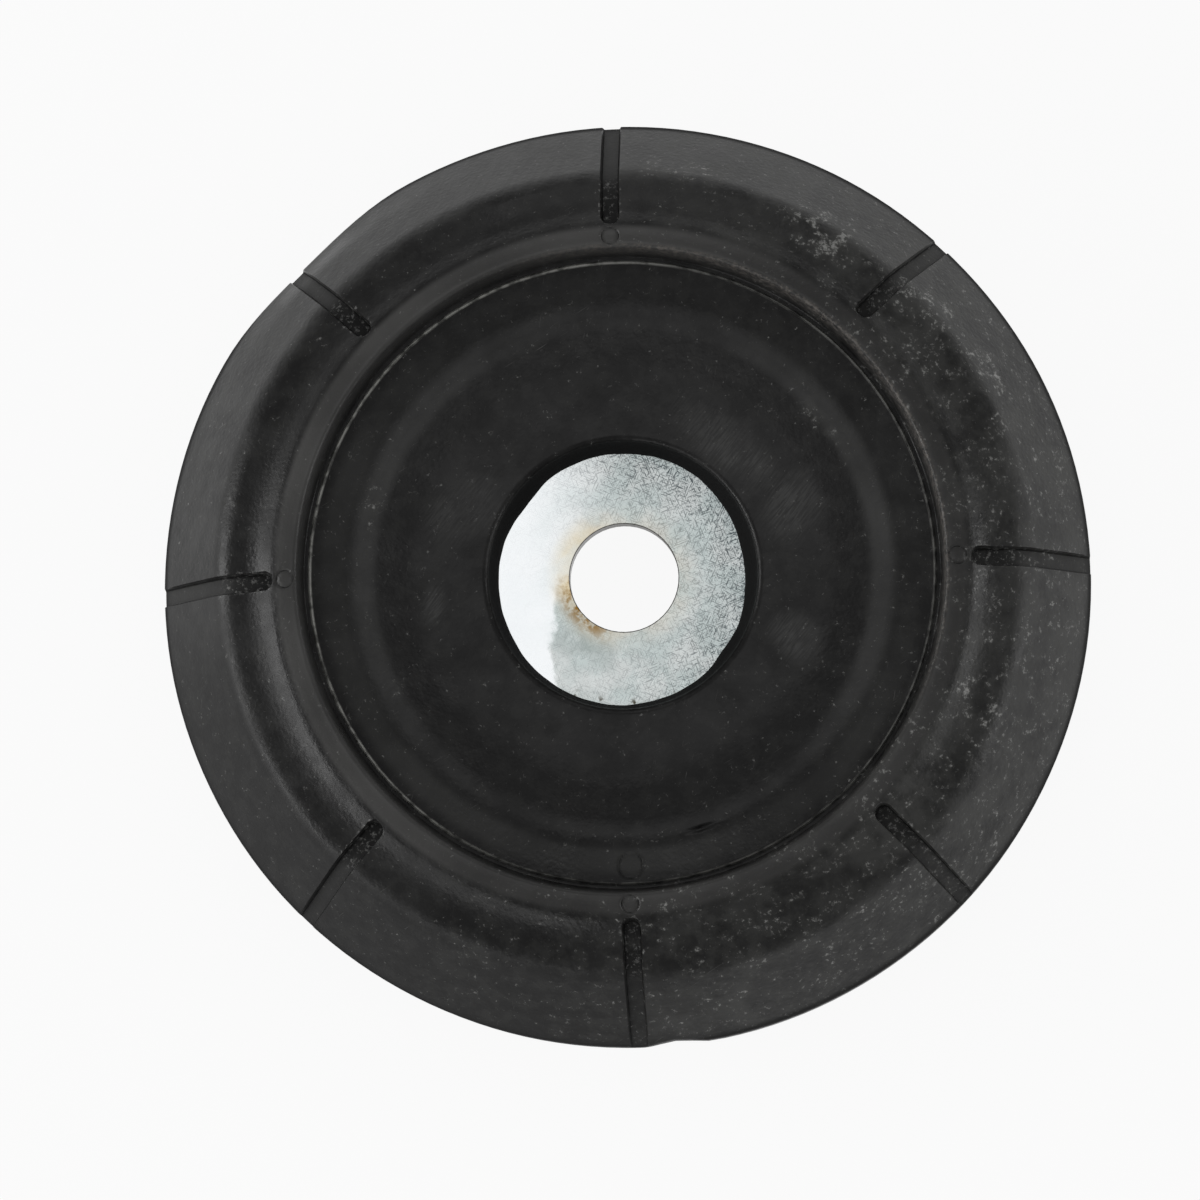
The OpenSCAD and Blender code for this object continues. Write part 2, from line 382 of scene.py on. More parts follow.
# %% Dents and flash
# Each dent, lobe and nick has its depth in millimetres, and its direction and half width in degrees.
RIM_DENTS = ((0.8, 133, 16), (0.6, 274.5, 4.5))
FLASH_LOBES = ((0.6, 8, 60), (0.45, 142, 20), (0.25, 320, 14))
FLASH_ALL_ROUND = 0.35
FLASH_GAP = (250, 80)
RIM_RIPPLE = 0.15
FLASH_RIPPLE = 0.12
LINE_RIPPLE = 0.3
NICKS = ((0.5, -74.5, 4.5),)
NICK_HALF_W = 0.5


def dent_rim(vert, angle, radius):
    near_rim = smooth_step(sole_r, rim_r, radius)
    pull_in(vert, (bumps(angle, RIM_DENTS) + RIM_RIPPLE * ripple(angle)) * near_rim)


def leave_flash(vert, angle):
    low = 1 - smooth_step(plate_top + 0.3, floor_z - 0.8, vert.co.z)
    flash = FLASH_ALL_ROUND * (1 - bump_at(angle, *FLASH_GAP)) + bumps(angle, FLASH_LOBES)
    pull_in(vert, (flash + FLASH_RIPPLE * ripple(angle * 3)) * low)


for vert in rubber.verts:
    angle = math.atan2(vert.co.y, vert.co.x)
    radius = math.hypot(vert.co.x, vert.co.y)
    if radius > sole_r and vert.co.z > bottom_z + 0.5:
        dent_rim(vert, angle, radius)
    elif radius < lip_r and vert.co.z < floor_z - 0.5:
        leave_flash(vert, angle)
    elif abs(radius - line_r) < 0.1 and vert.co.z > line_z:
        vert.co.z -= LINE_RIPPLE * ripple(2 * angle)
    elif abs(radius - nick_r) < NICK_HALF_W and vert.co.z > plate_top:
        vert.co.z -= bumps(angle, NICKS) * (1 - abs(radius - nick_r) / NICK_HALF_W)
print("rim, opening, parting line and bowl made uneven")

# %% [markdown]
# ## Where the rubber is scuffed and wiped
# Handling scuffs some places more than others, and the bowl's floor has been wiped around the opening. Each
# such place is an ellipse, given in a list. How scuffed or wiped a point is, is kept with its
# vertex, as the slots are. The finish reads it from there, which is much quicker than working out every
# ellipse in the shader again for each ray of light.

# %% Mark the scuffed and wiped places
# Each patch has its x, y, length and width in millimetres, its direction in degrees, and its strength.
SCUFFS = (
    (28, 42, 20, 10, -35, 1.0),
    (40, 33, 16, 12, -45, 0.85),
    (47, 25, 16, 6, -61, 0.9),
    (37, 25, 18, 12, -55, 0.65),
    (9, 52, 16, 6, -10, 0.7),
    (45, -19, 20, 10, -70, 0.85),
    (28, -47, 18, 8, 30, 0.55),
    (9, -56, 6, 1.2, 50, 0.7),
    (-20, -47, 16, 6, -25, 0.4),
    (4.2, -43, 3, 2.2, 0, 1.0),
    (0.2, -46.5, 6, 2.4, 90, 1.0),
    (33, -33, 6, 2.4, -45, 0.9),
    (25.5, 19, 13, 3.5, -53, 0.6),
    (-31, 11, 14, 3.5, 70, 0.7),
    (-33, -5, 6, 2.5, 90, 0.6),
    (-29, -13.5, 5, 2.5, 65, 0.6),
)
WIPED = (
    (-20, 9, 14, 9, 38, 1.0),
    (-24, -3, 7, 4, 80, 1.0),
    (14, 16, 22, 8, -42, 1.0),
    (22, 8, 12, 10, 60, 1.0),
    (22, -9, 10, 7, -40, 1.0),
)
PATCH_FULL = 0.3
PATCH_END = 1.1


def patch_share(vert, x, y, length, width, degrees, strength):
    """The patch's strength in its middle, fading to nothing at its edge."""
    turn = math.radians(degrees)
    along = (vert.co.x - x) * math.cos(turn) + (vert.co.y - y) * math.sin(turn)
    across = (vert.co.y - y) * math.cos(turn) - (vert.co.x - x) * math.sin(turn)
    outwards = math.hypot(along / length, across / width) * 2
    return strength * (1 - smooth_step(PATCH_FULL, PATCH_END, outwards))


scuffed_layer = rubber.verts.layers.float.new("scuffed")
wiped_layer = rubber.verts.layers.float.new("wiped")
for vert in rubber.verts:
    vert[scuffed_layer] = max(patch_share(vert, *patch) for patch in SCUFFS)
    vert[wiped_layer] = max(patch_share(vert, *patch) for patch in WIPED)
print(f"{len(SCUFFS)} scuffed and {len(WIPED)} wiped patches")

# %% [markdown]
# The finished ring becomes a mesh in metres. Its faces are smooth, but edges that turn by more than thirty
# degrees stay sharp, so the slots keep crisp sides. It takes the place of the plain rubber solid and moves
# with the same body.

# %% Rubber body
SHARP_ANGLE = math.radians(30)


def make_piece(name, shape):
    """Turns a shape in millimetres into an object of the scene."""
    bmesh.ops.scale(shape, vec=(MM, MM, MM), verts=shape.verts[:])
    for face in shape.faces:
        face.smooth = True
    for edge in shape.edges:
        edge.smooth = edge.calc_face_angle(0) < SHARP_ANGLE
    mesh = bpy.data.meshes.new(name)
    shape.to_mesh(mesh)
    shape.free()
    piece = bpy.data.objects.new(name, mesh)
    bpy.context.scene.collection.objects.link(piece)
    return piece


moulded_rubber = make_piece("moulded_rubber", rubber)
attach(moulded_rubber, "mount")
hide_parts("rubber_body")
print("moulded_rubber:", len(moulded_rubber.data.polygons), "faces")

# %% [markdown]
# ## Bearing rings
# The races are turned on a lathe and the seals are moulded, so each of them is a spun outline too. No such
# edge is left sharp, and rounded corners are what catch the light on the underside. The sizes come from the
# solids, and each race has a groove that is an arc around the middle of the balls' path.

# %% Sizes of the bearing, in millimetres
EDGE_ROUND = 0.35
RACE_CHAMFER = 2
plate_seat_z = plate_top - plate_t
lower_top_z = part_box("lower_race")[1].z / MM
flange_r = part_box("lower_race")[1].x / MM
upper_low_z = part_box("inner_seal")[1].z / MM
inner_seal_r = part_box("inner_seal")[1].x / MM
inner_seal_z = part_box("inner_seal")[0].z / MM
seal_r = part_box("dust_seal")[1].x / MM
seal_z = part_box("dust_seal")[0].z / MM
seal_top_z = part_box("dust_seal")[1].z / MM
ball_z = plate_seat_z / 2
ball_r = (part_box("balls")[1].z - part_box("balls")[0].z) / MM / 2
pitch_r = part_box("balls")[1].x / MM - ball_r
groove_r = ball_r + 0.1
upper_bore_r = inner_seal_r - 0.9
bore_r = upper_bore_r - 0.4
hub_r = flange_r - 1.6
seal_bore_r = hub_r + 0.4
flange_low_z = lower_top_z - 1.8
print(f"balls of {2 * ball_r:.2f} mm on a circle of {2 * pitch_r:.1f} mm, bore {2 * bore_r:.1f} mm")

# %% Sections of the races and the seals
GROOVE_STEPS = 10


def groove(upwards):
    """The ball groove's corners from the inside out: 1 in the upper race and -1 in the lower."""
    half = math.acos((upper_low_z - lower_top_z) / 2 / groove_r)
    corners = []
    for step in range(GROOVE_STEPS + 1):
        turn = half * (2 * step / GROOVE_STEPS - 1)
        corners.append((pitch_r + groove_r * math.sin(turn), ball_z + upwards * groove_r * math.cos(turn), 0))
    return corners


def band(inner, outer, low, high):
    """The corners of a plain ring with rounded edges."""
    corners = ((inner, low), (outer, low), (outer, high), (inner, high))
    return [(radius, height, EDGE_ROUND) for radius, height in corners]


lower_section = [
    (bore_r, 0, EDGE_ROUND),
    (hub_r, 0, EDGE_ROUND),
    (hub_r, flange_low_z, EDGE_ROUND),
    (flange_r, flange_low_z, EDGE_ROUND),
    (flange_r, lower_top_z, EDGE_ROUND),
    *reversed(groove(-1)),
    (bore_r, lower_top_z, EDGE_ROUND),
]
upper_section = [
    (upper_bore_r, upper_low_z, 0),
    *groove(1),
    (seal_r, upper_low_z, EDGE_ROUND),
    (seal_r, seal_z, EDGE_ROUND),
    (seat_r, seal_z, EDGE_ROUND),
    (seat_r, plate_seat_z - RACE_CHAMFER, EDGE_ROUND),
    (seat_r - RACE_CHAMFER, plate_seat_z, EDGE_ROUND),
    (upper_bore_r, plate_seat_z, EDGE_ROUND),
]
outer_seal_section = band(seal_bore_r, seal_r, seal_z, seal_top_z)
inner_seal_section = band(upper_bore_r, inner_seal_r, inner_seal_z, upper_low_z)
print(f"corners: {len(lower_section)} in the lower race, {len(upper_section)} in the upper race")

# %% Turn the races and the seals
RING_COLUMNS = 192
RING_ROWS = 0.8
# Each node has the body that its ring moves with, its material slot and its section.
RINGS = {
    "lower_race": ("spring_seat_race", "race_steel", lower_section),
    "upper_race": ("mount", "race_steel", upper_section),
    "dust_seal": ("mount", "seal_rubber", outer_seal_section),
    "inner_seal": ("mount", "seal_rubber", inner_seal_section),
}
bearing_rings = {}
for node, (body, slot_name, section) in RINGS.items():
    outline = rounded_outline(section)
    cut_edges(outline, lambda radius, height: RING_ROWS)
    spin_round(outline, RING_COLUMNS)
    piece = make_piece(node + "_ring", outline)
    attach(piece, body)
    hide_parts(node)
    bearing_rings[node] = piece
    print(piece.name, len(piece.data.polygons), "faces")

# %% [markdown]
# ## Balls
# The balls are ground round to within a thousandth of a millimetre. Each is a sphere from one operator, set
# on the circle that runs through the middle of the grooves, and together they move with the cage.

# %% Set the balls in their cage
BALL_COUNT = 22
BALL_SEGMENTS = 32

ball_set = bmesh.new()
for number in range(BALL_COUNT):
    around = Matrix.Rotation(math.tau * number / BALL_COUNT, 4, "Z")
    bmesh.ops.create_uvsphere(
        ball_set, u_segments=BALL_SEGMENTS, v_segments=BALL_SEGMENTS // 2, radius=ball_r,
        matrix=around @ Matrix.Translation((pitch_r, 0, ball_z)),
    )
bearing_balls = make_piece("bearing_balls", ball_set)
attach(bearing_balls, "ball_set")
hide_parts("balls")
print(BALL_COUNT, "balls:", len(bearing_balls.data.polygons), "faces")

# %% [markdown]
# ## Building a finish
# The finishes are small networks of shader nodes. These helpers add a node, set or link its inputs, and do
# sums with masks. A mask is a number from zero to one at each point of the surface.

# %% Helpers that add nodes


def new_finish(name):
    """A new material, its nodes and its main shader."""
    material = bpy.data.materials.new(name)
    material.use_nodes = True
    return material, material.node_tree, material.node_tree.nodes["Principled BSDF"]


def set_input(tree, socket, value):
    """Links another node's output to a socket, or sets it to a plain value."""
    if isinstance(value, bpy.types.NodeSocket):
        tree.links.new(value, socket)
    else:
        socket.default_value = value


def add(tree, kind, settings=None, **inputs):
    """Adds a shader node. An input is a plain value or another node's output."""
    node = tree.nodes.new("ShaderNode" + kind)
    for key, value in (settings or {}).items():
        setattr(node, key, value)
    for key, value in inputs.items():
        set_input(tree, node.inputs[key.replace("_", " ")], value)
    return node


def calc(tree, operation, first, second):
    """Two values added, multiplied or compared."""
    node = add(tree, "Math", {"operation": operation})
    set_input(tree, node.inputs[0], first)
    set_input(tree, node.inputs[1], second)
    return node.outputs[0]


def product(tree, first, *others):
    """Masks and plain numbers multiplied: only where all masks agree is it one."""
    for other in others:
        first = calc(tree, "MULTIPLY", first, other)
    return first


def strongest(tree, first, *others):
    """The largest of several masks."""
    for other in others:
        first = calc(tree, "MAXIMUM", first, other)
    return first


def blend_colours(tree, share, first, second):
    """The first colour, turning into the second as share goes from zero to one."""
    node = add(tree, "Mix", {"data_type": "RGBA"})
    set_input(tree, node.inputs[0], share)
    set_input(tree, node.inputs[6], first)
    set_input(tree, node.inputs[7], second)
    return node.outputs[2]


def blend_values(tree, share, first, second):
    """The first value, turning into the second as share goes from zero to one."""
    node = add(tree, "Mix", {"data_type": "FLOAT"})
    set_input(tree, node.inputs[0], share)
    set_input(tree, node.inputs[2], first)
    set_input(tree, node.inputs[3], second)
    return node.outputs[0]


def paint(piece, material):
    """Gives a piece its finish."""
    piece.data.materials.clear()
    piece.data.materials.append(material)
    print(material.name, "on", piece.name)


black_rubber, rubber_tree, rubber_shader = new_finish("black_rubber")
print("a new finish has:", ", ".join(node.name for node in rubber_tree.nodes))

# %% [markdown]
# Most patterns on this part depend on how far a point is from the rod's axis and on which side it lies, so
# the masks are made from those two and from noise. All of them read Object coordinates, which stay with a
# piece when it moves.

# %% Helpers that make masks


def mask(tree, value, low, high):
    """Zero below low, one above high, and smooth between. With low above high it is turned round."""
    settings = {"interpolation_type": "SMOOTHSTEP"}
    return add(tree, "MapRange", settings, Value=value, From_Min=low, From_Max=high).outputs["Result"]


def span(tree, value, start_mm, end_mm):
    """A mask on a length: zero at the start and one at the end, both in millimetres."""
    return mask(tree, value, start_mm * MM, end_mm * MM)


def spread(tree, value, low, high):
    """Stretches a value from 0 to 1 onto another range."""
    return add(tree, "MapRange", Value=value, To_Min=low, To_Max=high).outputs["Result"]


def place(tree, stretch=(1, 1, 1)):
    """Object coordinates, stretched from the piece's own origin."""
    where = add(tree, "TexCoord").outputs["Object"]
    return add(tree, "Mapping", Vector=where, Scale=stretch).outputs["Vector"]


def axis_distance(tree):
    """How far a point is from the rod's axis."""
    flat = place(tree, (1, 1, 0))
    return add(tree, "VectorMath", {"operation": "LENGTH"}, Vector=flat).outputs["Value"]


def ring(tree, radius, inner_mm, outer_mm, soft_mm):
    """One between two distances from the axis, fading over soft_mm inside each of them."""
    after = span(tree, radius, inner_mm, inner_mm + soft_mm)
    before = span(tree, radius, outer_mm, outer_mm - soft_mm)
    return product(tree, after, before)


def side(tree, degrees, low, high):
    """A mask for one side of the piece, between two cosines of the angle from that direction."""
    facing = add(tree, "VectorMath", {"operation": "NORMALIZE"}, Vector=place(tree, (1, 1, 0)))
    node = add(tree, "VectorMath", {"operation": "DOT_PRODUCT"}, Vector=facing.outputs["Vector"])
    direction = math.radians(degrees)
    node.inputs[1].default_value = (math.cos(direction), math.sin(direction), 0)
    return mask(tree, node.outputs["Value"], low, high)


def noise(tree, where, scale, detail, rough=0.5):
    """A cloudy pattern around one half. A larger scale makes it finer."""
    texture = add(tree, "TexNoise", Vector=where, Scale=scale, Detail=detail, Roughness=rough)
    return texture.outputs["Fac"]


def streaks(tree, degrees, length_mm, width_mm, low, high):
    """Short strokes that all run in one direction, cut off between two levels of a noise."""
    stretched = add(
        tree, "Mapping", {"vector_type": "TEXTURE"}, Vector=add(tree, "TexCoord").outputs["Object"],
        Rotation=(0, 0, math.radians(degrees)), Scale=(length_mm * MM, width_mm * MM, length_mm * MM),
    )
    return mask(tree, noise(tree, stretched.outputs["Vector"], 1.0, 2), low, high)


def vertex_value(tree, name):
    """A value that was kept with the vertices."""
    return add(tree, "Attribute", {"attribute_name": name}).outputs["Fac"]


def count_nodes(tree, layer):
    """Says how far a finish has grown."""
    print(f"{layer}: {len(tree.nodes)} nodes so far")


rubber_where = place(rubber_tree)
rubber_radius = axis_distance(rubber_tree)
count_nodes(rubber_tree, "places on the rubber")

# %% [markdown]
# ## Black rubber
# Rubber of this kind is nearly black and has a low, broad gloss. Everything else that shows on it came
# later and lies on top, so the finish starts from black and blends in one layer after another. Each layer
# is a ring or a side of the part, broken up by noise. What several layers need is made once and shared,
# because the fine noises take most of a render's time.

# %% What the rubber's layers share


def painted_shade_edges(tree, where, radius):
    """The edges where shade is painted: the opening's wall and the rim's outer edge."""
    height = add(tree, "SeparateXYZ", Vector=where).outputs["Z"]
    low_in_opening = span(tree, height, floor_z - 0.2, floor_z - 0.9)
    opening = product(tree, span(tree, radius, lip_r + 0.4, lip_r - 0.1), low_in_opening)
    high_on_rim = span(tree, height, rim_low_z + 0.6, rim_z - 0.4)
    rim = product(tree, span(tree, radius, rim_r - 1.2, rim_r - 0.2), high_on_rim)
    return strongest(tree, opening, product(tree, rim, 0.9))


def rubber_patterns(tree, where, radius):
    """The places and noises that the layers of the rubber are made from."""
    slot = vertex_value(tree, "in_slot")
    return SimpleNamespace(
        where=where,
        radius=radius,
        slot=slot,
        slot_floor=mask(tree, slot, 0.93, 1),
        slot_wall=product(tree, mask(tree, slot, 0.4, 0.6), mask(tree, slot, 1, 0.93)),
        line=ring(tree, radius, line_r - 0.3, line_r + 0.3, 0.2),
        painted_shade=painted_shade_edges(tree, where, radius),
        clouds=mask(tree, noise(tree, where, 55, 4), 0.36, 0.66),
        wipes=mask(tree, noise(tree, where, 170, 5, 0.62), 0.36, 0.66),
        dust=noise(tree, where, 1500, 5, 0.75),
    )


on_rubber = rubber_patterns(rubber_tree, rubber_where, rubber_radius)
count_nodes(rubber_tree, "shared patterns")

# %% [markdown]
# Wax and dust come out on old rubber as a grey film. Here it is smeared over the back of the cone, and it
# lies as a cloudy bloom on the right side of the cone and the shelf.

# %% Film and bloom on the cone
RUBBER_BLACK = (0.0062, 0.006, 0.0062, 1)
FILM_GREY = (0.036, 0.036, 0.0355, 1)
BLOOM_GREY = (0.045, 0.045, 0.043, 1)


def film_and_bloom(tree, on, colour):
    smudges = spread(tree, on.wipes, 0.2, 1.6)
    smears = spread(tree, streaks(tree, 68, 12, 1.2, 0.3, 0.7), 0.5, 1.35)
    cone = span(tree, on.radius, shoulder_r - 2, shoulder_r + 2.3)
    back_side = spread(tree, side(tree, 108, 0, 0.85), 0.04, 1)
    film = product(tree, cone, back_side, smears, smudges)
    colour = blend_colours(tree, film, colour, FILM_GREY)
    cone_and_shelf = ring(tree, on.radius, crest_r + 1, rim_r + 2, 3)
    right_side = spread(tree, side(tree, 0, -0.35, 0.85), 0.06, 1)
    bloom = product(tree, cone_and_shelf, spread(tree, on.clouds, 0.35, 1), right_side, smudges)
    return blend_colours(tree, bloom, colour, BLOOM_GREY)


rubber_colour = film_and_bloom(rubber_tree, on_rubber, RUBBER_BLACK)
count_nodes(rubber_tree, "film and bloom")

# %% [markdown]
# The ridge carries the load against the car's body, so its top is rubbed grey, most of all on the left.
# Dust has settled in the bowl as a haze on its wall towards the front left. The terrace below the wall has
# a painted highlight to the right and the left.

# %% Rubbed ridge, hazy bowl and painted terrace highlight
RIDGE_GREY = (0.05, 0.049, 0.048, 1)
RIDGE_PALE = (0.08, 0.079, 0.077, 1)
HAZE_GREY = (0.036, 0.036, 0.035, 1)
TERRACE_HIGHLIGHT = (0.048, 0.048, 0.047, 1)


def ridge_and_bowl(tree, on, colour):
    ridge = ring(tree, on.radius, crest_r - 0.8, flank_top_r + 0.8, 1)
    ridge_tone = blend_colours(tree, side(tree, 155, -0.2, 0.85), RIDGE_GREY, RIDGE_PALE)
    rubbed = product(tree, ridge, spread(tree, on.clouds, 0.6, 1))
    colour = blend_colours(tree, rubbed, colour, ridge_tone)
    bowl_wall = ring(tree, on.radius, terrace_out_r - 0.2, line_r - 0.4, 1.8)
    front_left = spread(tree, side(tree, 235, -1, 0.9), 0.2, 1)
    haze = product(tree, bowl_wall, front_left, spread(tree, on.clouds, 0.4, 1))
    colour = blend_colours(tree, haze, colour, HAZE_GREY)
    # A painted highlight on the terrace's slope, to the right and the left.
    terrace = ring(tree, on.radius, terrace_in_r - 1.4, terrace_out_r + 1.2, 1.8)
    left = product(tree, side(tree, 163, 0.3, 0.98), 0.75)
    right_or_left = strongest(tree, side(tree, 12, 0.4, 0.98), left)
    terrace_highlight = product(tree, terrace, right_or_left, spread(tree, on.clouds, 0.55, 1))
    return blend_colours(tree, terrace_highlight, colour, TERRACE_HIGHLIGHT)


rubber_colour = ridge_and_bowl(rubber_tree, on_rubber, rubber_colour)
count_nodes(rubber_tree, "ridge and bowl")

# %% [markdown]
# The slots' walls are painted dark as shade. Their floors have painted shade at the inner end and at the
# front, and are painted lighter elsewhere as if lit. A painted highlight, broken up by the dust noise, lies
# on the edges beside them. The grooves of the moulding marks get the same painted shade as the walls.

# %% Painted shade and highlights at the slots
SHADE = (0.003, 0.003, 0.003, 1)
SLOT_SHADED = (0.008, 0.008, 0.008, 1)
SLOT_LIT_GREY = (0.034, 0.034, 0.033, 1)
SLOT_EDGE_HIGHLIGHT = (0.17, 0.17, 0.165, 1)


def slot_shades(tree, on, colour):
    # Painted light and shade on the slot floors: shaded at the inner end and the front, lit elsewhere.
    open_end = span(tree, on.radius, foot_r - 0.9, shoulder_r + 4.8)
    lit = product(tree, open_end, side(tree, 100, -1, 0.4))
    slot_floor_light_and_shade = blend_colours(tree, lit, SLOT_SHADED, SLOT_LIT_GREY)
    colour = blend_colours(tree, product(tree, on.slot_floor, 0.8), colour, slot_floor_light_and_shade)
    # Painted shade on the slot walls and in the grooves of the marks.
    colour = blend_colours(tree, on.slot_wall, colour, SHADE)
    # A painted highlight on the edges beside the slots, broken up by the dust noise.
    shelf = ring(tree, on.radius, flank_top_r + 0.1, shoulder_r + 0.8, 2)
    slot_edge_highlight = product(tree, mask(tree, on.slot, 0.1, 0.3), shelf, mask(tree, on.dust, 0.53, 0.63))
    return blend_colours(tree, slot_edge_highlight, colour, SLOT_EDGE_HIGHLIGHT)


rubber_colour = slot_shades(rubber_tree, on_rubber, rubber_colour)
count_nodes(rubber_tree, "slots")

# %% [markdown]
# Handling scuffs the rubber. The patches that were kept with the vertices are broken into clusters, and the
# whole body is scuffed a little, more outside the bowl on the right. The more a place is scuffed, the more
# of the fine dust noise shows there as pale specks.

# %% Scuffs, specks and scratches
SCUFF_GREY = (0.058, 0.058, 0.055, 1)
WIPED_GREY = (0.062, 0.062, 0.061, 1)
SPECK_PALE = (0.3, 0.3, 0.29, 1)
SCRATCH_GREY = (0.1, 0.1, 0.096, 1)


def scuffs_and_specks(tree, on, colour):
    outside_bowl = span(tree, on.radius, line_r - 1.7, crest_r + 1)
    handled = spread(tree, product(tree, side(tree, -20, -0.4, 0.9), outside_bowl), 0.19, 0.53)
    clusters = spread(tree, mask(tree, noise(tree, on.where, 430, 3, 0.6), 0.4, 0.62), 0.25, 1.15)
    scuffed = product(tree, strongest(tree, vertex_value(tree, "scuffed"), handled), clusters)
    colour = blend_colours(tree, product(tree, scuffed, 0.75), colour, SCUFF_GREY)
    strokes = spread(tree, streaks(tree, 50, 2.2, 0.25, 0.35, 0.65), 0.4, 1)
    wiped = product(tree, vertex_value(tree, "wiped"), strokes, spread(tree, on.wipes, 0.3, 1))
    colour = blend_colours(tree, wiped, colour, WIPED_GREY)
    specks = mask(tree, calc(tree, "ADD", on.dust, product(tree, scuffed, 0.185)), 0.635, 0.82)
    colour = blend_colours(tree, specks, colour, SPECK_PALE)
    long_scratches = streaks(tree, 30, 3.2, 0.14, 0.7, 0.82)
    short_scratches = streaks(tree, 78, 2.4, 0.14, 0.7, 0.82)
    scratches = product(tree, strongest(tree, long_scratches, short_scratches), on.clouds)
    return blend_colours(tree, scratches, colour, SCRATCH_GREY)


rubber_colour = scuffs_and_specks(rubber_tree, on_rubber, rubber_colour)
count_nodes(rubber_tree, "scuffs and specks")

# %% [markdown]
# Edges wear first. The ridge's inner edge is worn at the back right, and the parting line around the bowl
# shows as a thin pale line, broken and strongest on the left. Painted shade darkens the opening's wall and
# the rim's outer edge.

# %% Worn edges and painted shade
EDGE_WORN = (0.12, 0.11, 0.1, 1)
LINE_PALE = (0.32, 0.32, 0.3, 1)


def worn_and_shaded_edges(tree, on, colour):
    ridge_edge = ring(tree, on.radius, crest_r - 0.5, crest_r + 0.6, 0.4)
    worn = product(tree, ridge_edge, side(tree, 40, 0.2, 0.9), mask(tree, on.dust, 0.42, 0.62))
    colour = blend_colours(tree, worn, colour, EDGE_WORN)
    broken = spread(tree, mask(tree, noise(tree, on.where, 700, 2), 0.35, 0.6), 0.25, 1)
    left_side = spread(tree, side(tree, 160, -0.1, 0.6), 0.28, 1)
    colour = blend_colours(tree, product(tree, on.line, broken, left_side), colour, LINE_PALE)
    # Painted shade on the opening's wall and the rim's outer edge.
    return blend_colours(tree, on.painted_shade, colour, SHADE)


rubber_colour = worn_and_shaded_edges(rubber_tree, on_rubber, rubber_colour)
count_nodes(rubber_tree, "worn edges")

# %% [markdown]
# The gloss varies a little everywhere. It is lower in smudges, and lowest in the slots, on the parting line,
# in the places with painted shade and on the cone's front left. The pores are too small to model, so a bump
# gives them.
# The specular level is the same all over and is set on the shader itself.

# %% Rubber finish
RUBBER_SPECULAR = 0.28
PORE_DEPTH = 0.08


def rubber_roughness(tree, on):
    plain = spread(tree, noise(tree, on.where, 90, 2), 0.18, 0.42)
    roughness = calc(tree, "ADD", plain, product(tree, on.wipes, 0.12))
    cone = span(tree, on.radius, shoulder_r - 1.7, shoulder_r + 0.8)
    matt_side = product(tree, cone, side(tree, 232, 0.3, 0.85))
    dull_places = (
        (on.slot_floor, 0.6),
        (on.slot_wall, 0.85),
        (on.line, 0.75),
        (on.painted_shade, 0.85),
        (matt_side, 0.64),
    )
    for dull, level in dull_places:
        roughness = strongest(tree, roughness, product(tree, dull, level))
    return roughness


def finish_rubber(tree, shader, on, colour):
    """Connects the colour, the gloss and the pores to the shader."""
    set_input(tree, shader.inputs["Base Color"], colour)
    set_input(tree, shader.inputs["Roughness"], rubber_roughness(tree, on))
    shader.inputs["Specular IOR Level"].default_value = RUBBER_SPECULAR
    pores = add(tree, "Bump", Strength=0.5, Distance=PORE_DEPTH * MM, Height=noise(tree, on.where, 1800, 1))
    set_input(tree, shader.inputs["Normal"], pores.outputs["Normal"])


finish_rubber(rubber_tree, rubber_shader, on_rubber, rubber_colour)
paint(moulded_rubber, black_rubber)

# %% [markdown]
# ## Zinc plated steel
# The plate is pressed from sheet steel and plated with zinc, which gives a bluish, slightly cloudy shine.
# Its left side carries a painted reflection, nearly white. The painted reflection ends softly at the back and
# sharply at the front, along a line that wanders because a noise is added to the x coordinate.

# %% What the plate's layers share
hole_r = 7
REFLECTION_WANDER = 4
ZINC_DULL = (0.71, 0.79, 0.78, 1)
ZINC_BRIGHT = (0.86, 0.9, 0.89, 1)


def zinc_patterns(tree):
    """The places and noises that the layers of the plate are made from."""
    where = place(tree)
    parts = add(tree, "SeparateXYZ", Vector=where).outputs
    wander = calc(tree, "ADD", parts["X"], product(tree, noise(tree, where, 300, 4), REFLECTION_WANDER * MM))
    soft_edge = span(tree, wander, 4, -13)
    hard_edge = span(tree, wander, -6.8, -7.8)
    front_half = span(tree, parts["Y"], 1, -4)
    return SimpleNamespace(
        where=where,
        radius=axis_distance(tree),
        clouds=mask(tree, noise(tree, where, 260, 5), 0.35, 0.65),
        clean=blend_values(tree, front_half, soft_edge, hard_edge),
    )


zinc_plate, zinc_tree, zinc_shader = new_finish("zinc_plate")
on_zinc = zinc_patterns(zinc_tree)
zinc_colour = blend_colours(zinc_tree, on_zinc.clouds, ZINC_DULL, ZINC_BRIGHT)
count_nodes(zinc_tree, "clouded zinc")

# %% [markdown]
# Fitting the part has scratched the right side of the plate. The strokes run in four directions and get
# stronger towards the rubber, and a few bright glints lie between them.

# %% Scratches in the zinc
EDGE_SHADE = (0.26, 0.3, 0.32, 1)
STROKE_DARK = (0.07, 0.09, 0.1, 1)
GLINT_PALE = (0.93, 0.95, 0.95, 1)
ZINC_PAINTED_REFLECTION = (0.93, 0.95, 0.97, 1)
STROKE_DIRECTIONS = (20, 65, 110, 155)


